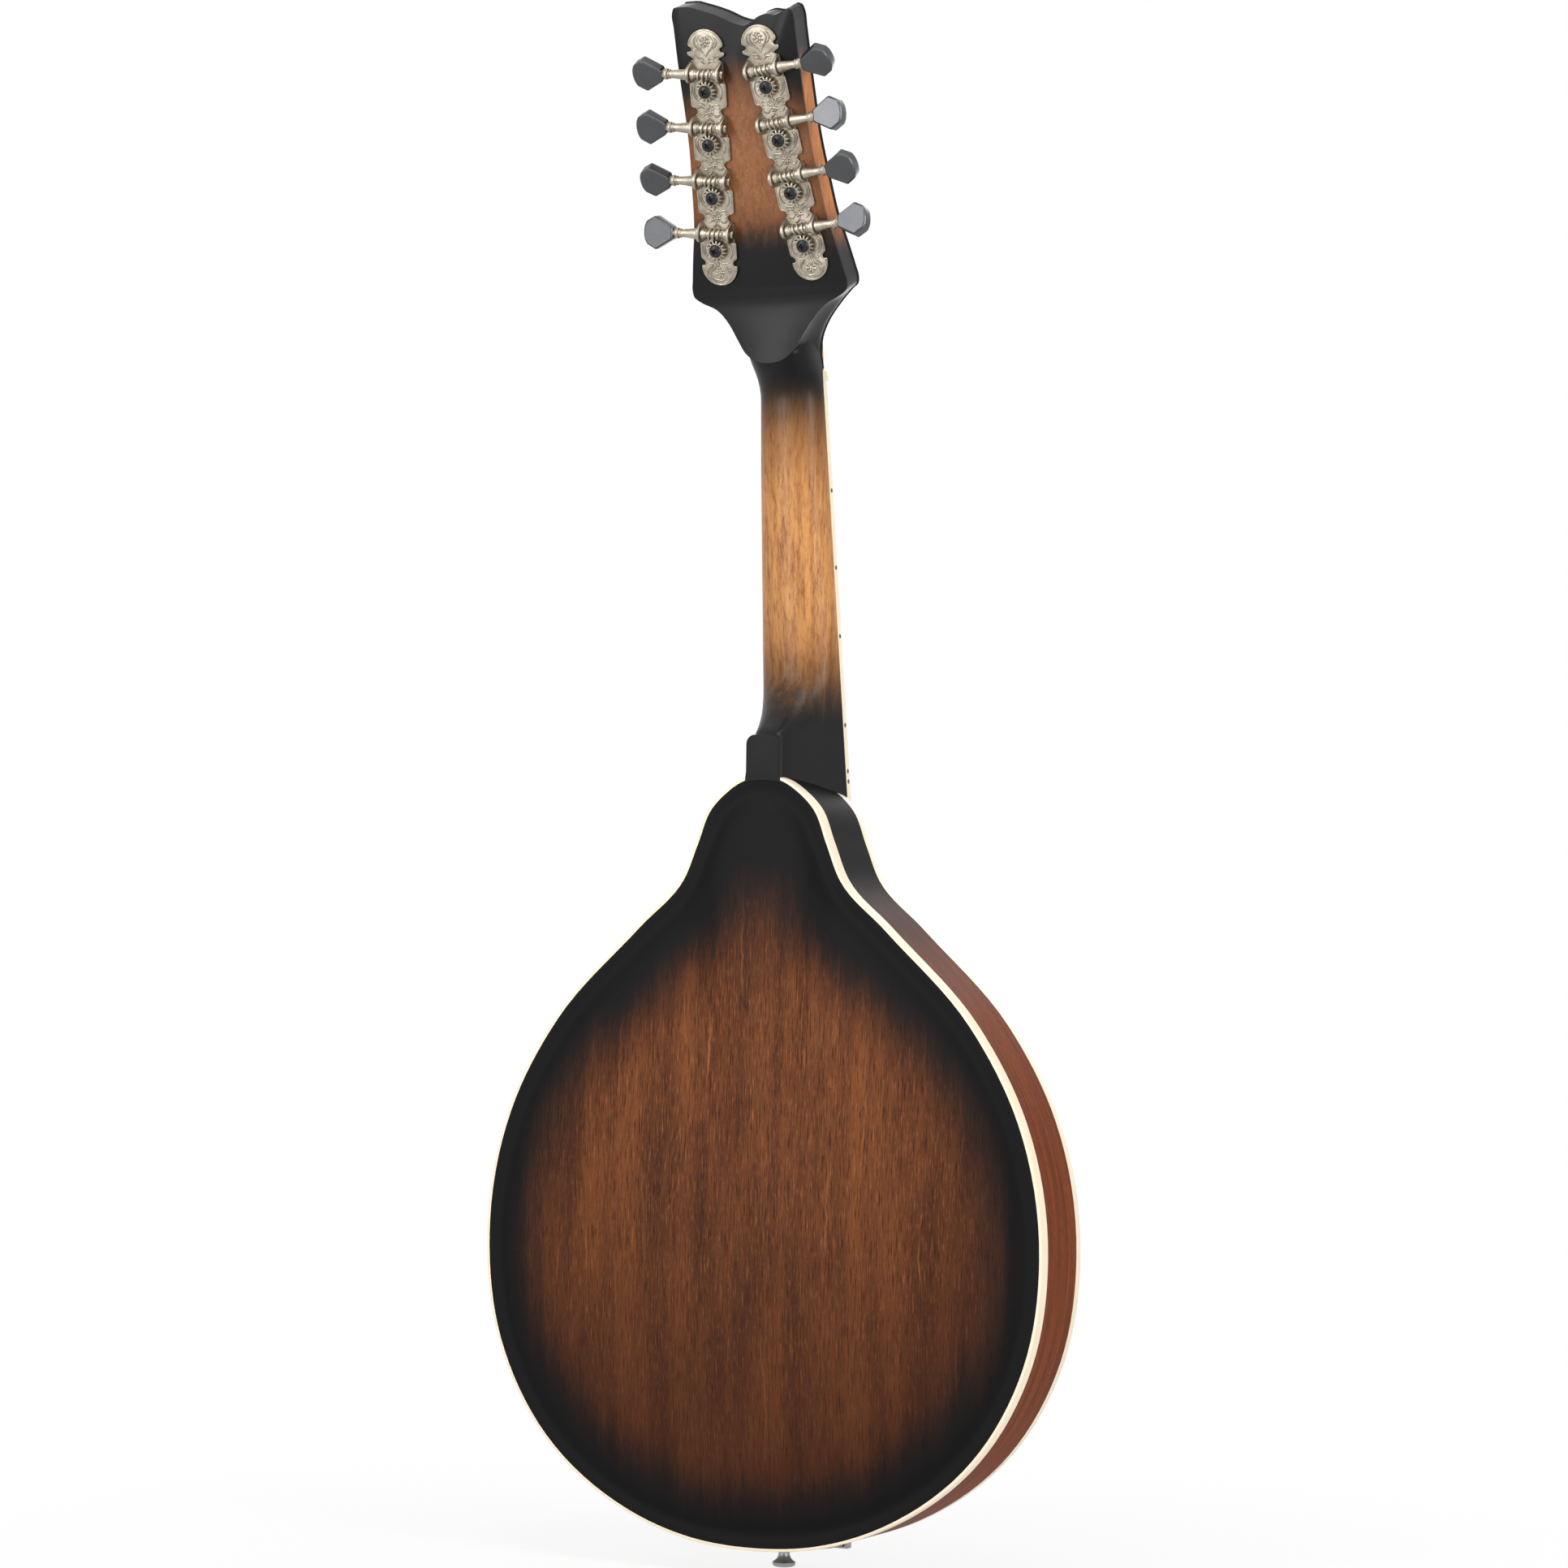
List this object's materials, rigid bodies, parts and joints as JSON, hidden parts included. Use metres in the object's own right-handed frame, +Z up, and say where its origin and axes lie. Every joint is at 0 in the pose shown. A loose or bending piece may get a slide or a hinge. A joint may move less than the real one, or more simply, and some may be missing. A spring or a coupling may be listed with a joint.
{
  "type": "mandolin",
  "caption": "Pear-shaped carved mandolin with oval soundhole, set neck, angled headstock with turning geared tuners, height-adjustable bridge, strings and covered tailpiece.",
  "frame": {"origin": "middle of the headstock's thickness, 33 mm above the nut, where the two prongs of a wall hanger's yoke carry its flared shoulders", "axes": "+Z up along the body towards the headstock, +Y towards the carved back, +X towards the treble side"},
  "size_m": [0.2594, 0.1155, 0.6611],
  "materials": {
    "burst_wood": "satin dark brown burst, black at the edge",
    "side_wood": "satin reddish brown",
    "neck_wood": "satin golden brown, black at both ends",
    "plain_wood": "bare wood",
    "rosewood": "oiled dark wood",
    "cream_binding": "satin cream",
    "bone": "satin off-white",
    "black_veneer": "satin black",
    "nickel": "aged nickel plate",
    "satin_chrome": "satin chrome plate",
    "bronze": "polished",
    "steel": "bright"
  },
  "bodies": {
    "instrument": {"back_binding": "cream_binding", "back_lining": "plain_wood", "back_plate": "burst_wood", "bridge_base": "rosewood", "fingerboard": "rosewood", "fingerboard_binding": "cream_binding", "headstock_overlay": "black_veneer", "heel_cap": "black_veneer", "lower_brace": "plain_wood", "neck": "neck_wood", "neck_block": "plain_wood", "nut": "bone", "rim": "side_wood", "strap_button": "satin_chrome", "string_1": "bronze", "string_2": "bronze", "string_3": "bronze", "string_4": "bronze", "string_5": "steel", "string_6": "steel", "string_7": "steel", "string_8": "steel", "tail_block": "plain_wood", "tailpiece": "nickel", "top_binding": "cream_binding", "top_lining": "plain_wood", "top_plate": "burst_wood", "truss_rod": "steel", "truss_rod_cover": "black_veneer", "tuner_plate_bass": "nickel", "tuner_plate_treble": "nickel", "upper_brace": "plain_wood"},
    "button_bass_1": {"tuner_button_bass_1": "satin_chrome", "worm_shaft_bass_1": "nickel"},
    "post_bass_1": {"gear_post_bass_1": "nickel"},
    "button_bass_2": {"tuner_button_bass_2": "satin_chrome", "worm_shaft_bass_2": "nickel"},
    "post_bass_2": {"gear_post_bass_2": "nickel"},
    "button_bass_3": {"tuner_button_bass_3": "satin_chrome", "worm_shaft_bass_3": "nickel"},
    "post_bass_3": {"gear_post_bass_3": "nickel"},
    "button_bass_4": {"tuner_button_bass_4": "satin_chrome", "worm_shaft_bass_4": "nickel"},
    "post_bass_4": {"gear_post_bass_4": "nickel"},
    "button_treble_1": {"tuner_button_treble_1": "satin_chrome", "worm_shaft_treble_1": "nickel"},
    "post_treble_1": {"gear_post_treble_1": "nickel"},
    "button_treble_2": {"tuner_button_treble_2": "satin_chrome", "worm_shaft_treble_2": "nickel"},
    "post_treble_2": {"gear_post_treble_2": "nickel"},
    "button_treble_3": {"tuner_button_treble_3": "satin_chrome", "worm_shaft_treble_3": "nickel"},
    "post_treble_3": {"gear_post_treble_3": "nickel"},
    "button_treble_4": {"tuner_button_treble_4": "satin_chrome", "worm_shaft_treble_4": "nickel"},
    "post_treble_4": {"gear_post_treble_4": "nickel"},
    "saddle": {"bridge_saddle": "rosewood"},
    "wheel_bass": {"thumbwheel_bass": "bronze"},
    "wheel_treble": {"thumbwheel_treble": "bronze"},
    "cover": {"tailpiece_cover": "satin_chrome"}
  },
  "joints": [
    {"name": "button_bass_1_turn", "type": "hinge", "parent": "instrument", "child": "button_bass_1", "pos_m": [-0.01354, 0.04669, 0.09422], "axis": [-0.9957, 0.0338, 0.086], "continuous": true},
    {"name": "post_bass_1_turn", "type": "hinge", "parent": "instrument", "child": "post_bass_1", "pos_m": [-0.0142, 0.02821, 0.09378], "axis": [0, 0.9307, -0.3657], "continuous": true},
    {"name": "button_bass_2_turn", "type": "hinge", "parent": "instrument", "child": "button_bass_2", "pos_m": [-0.01563, 0.03842, 0.07318], "axis": [-0.9957, 0.0338, 0.086], "continuous": true},
    {"name": "post_bass_2_turn", "type": "hinge", "parent": "instrument", "child": "post_bass_2", "pos_m": [-0.0163, 0.01994, 0.07274], "axis": [0, 0.9307, -0.3657], "continuous": true},
    {"name": "button_bass_3_turn", "type": "hinge", "parent": "instrument", "child": "button_bass_3", "pos_m": [-0.01773, 0.03016, 0.05215], "axis": [-0.9957, 0.0338, 0.086], "continuous": true},
    {"name": "post_bass_3_turn", "type": "hinge", "parent": "instrument", "child": "post_bass_3", "pos_m": [-0.01839, 0.01168, 0.05171], "axis": [0, 0.9307, -0.3657], "continuous": true},
    {"name": "button_bass_4_turn", "type": "hinge", "parent": "instrument", "child": "button_bass_4", "pos_m": [-0.01982, 0.02189, 0.03111], "axis": [-0.9957, 0.0338, 0.086], "continuous": true},
    {"name": "post_bass_4_turn", "type": "hinge", "parent": "instrument", "child": "post_bass_4", "pos_m": [-0.02049, 0.00341, 0.03067], "axis": [0, 0.9307, -0.3657], "continuous": true},
    {"name": "button_treble_1_turn", "type": "hinge", "parent": "instrument", "child": "button_treble_1", "pos_m": [0.01354, 0.04669, 0.09422], "axis": [0.9957, 0.0338, 0.086], "continuous": true},
    {"name": "post_treble_1_turn", "type": "hinge", "parent": "instrument", "child": "post_treble_1", "pos_m": [0.0142, 0.02821, 0.09378], "axis": [0, 0.9307, -0.3657], "continuous": true},
    {"name": "button_treble_2_turn", "type": "hinge", "parent": "instrument", "child": "button_treble_2", "pos_m": [0.01563, 0.03842, 0.07318], "axis": [0.9957, 0.0338, 0.086], "continuous": true},
    {"name": "post_treble_2_turn", "type": "hinge", "parent": "instrument", "child": "post_treble_2", "pos_m": [0.0163, 0.01994, 0.07274], "axis": [0, 0.9307, -0.3657], "continuous": true},
    {"name": "button_treble_3_turn", "type": "hinge", "parent": "instrument", "child": "button_treble_3", "pos_m": [0.01773, 0.03016, 0.05215], "axis": [0.9957, 0.0338, 0.086], "continuous": true},
    {"name": "post_treble_3_turn", "type": "hinge", "parent": "instrument", "child": "post_treble_3", "pos_m": [0.01839, 0.01168, 0.05171], "axis": [0, 0.9307, -0.3657], "continuous": true},
    {"name": "button_treble_4_turn", "type": "hinge", "parent": "instrument", "child": "button_treble_4", "pos_m": [0.01982, 0.02189, 0.03111], "axis": [0.9957, 0.0338, 0.086], "continuous": true},
    {"name": "post_treble_4_turn", "type": "hinge", "parent": "instrument", "child": "post_treble_4", "pos_m": [0.02049, 0.00341, 0.03067], "axis": [0, 0.9307, -0.3657], "continuous": true},
    {"name": "saddle_height", "type": "slide", "parent": "instrument", "child": "saddle", "axis": [0, 1, 0], "range_m": [0, 0.0014]},
    {"name": "wheel_bass_turn", "type": "hinge", "parent": "saddle", "child": "wheel_bass", "pos_m": [-0.024, -0.05355, -0.37732], "axis": [0, 1, 0], "range_deg": [0, 720.5]},
    {"name": "wheel_treble_turn", "type": "hinge", "parent": "saddle", "child": "wheel_treble", "pos_m": [0.024, -0.05355, -0.37732], "axis": [0, 1, 0], "range_deg": [0, 720.5]},
    {"name": "cover_slide", "type": "slide", "parent": "instrument", "child": "cover", "axis": [0, 0.1663, -0.9861], "range_m": [0, 0.03]}
  ],
  "couplings": [
    {"joint": "post_bass_1_turn", "follows": "button_bass_1_turn", "ratio": 0.066667},
    {"joint": "post_bass_2_turn", "follows": "button_bass_2_turn", "ratio": 0.066667},
    {"joint": "post_bass_3_turn", "follows": "button_bass_3_turn", "ratio": 0.066667},
    {"joint": "post_bass_4_turn", "follows": "button_bass_4_turn", "ratio": 0.066667},
    {"joint": "post_treble_1_turn", "follows": "button_treble_1_turn", "ratio": -0.066667},
    {"joint": "post_treble_2_turn", "follows": "button_treble_2_turn", "ratio": -0.066667},
    {"joint": "post_treble_3_turn", "follows": "button_treble_3_turn", "ratio": -0.066667},
    {"joint": "post_treble_4_turn", "follows": "button_treble_4_turn", "ratio": -0.066667},
    {"joint": "wheel_bass_turn", "follows": "saddle_height", "rad_per_m": 8976},
    {"joint": "wheel_treble_turn", "follows": "saddle_height", "rad_per_m": 8976}
  ]
}
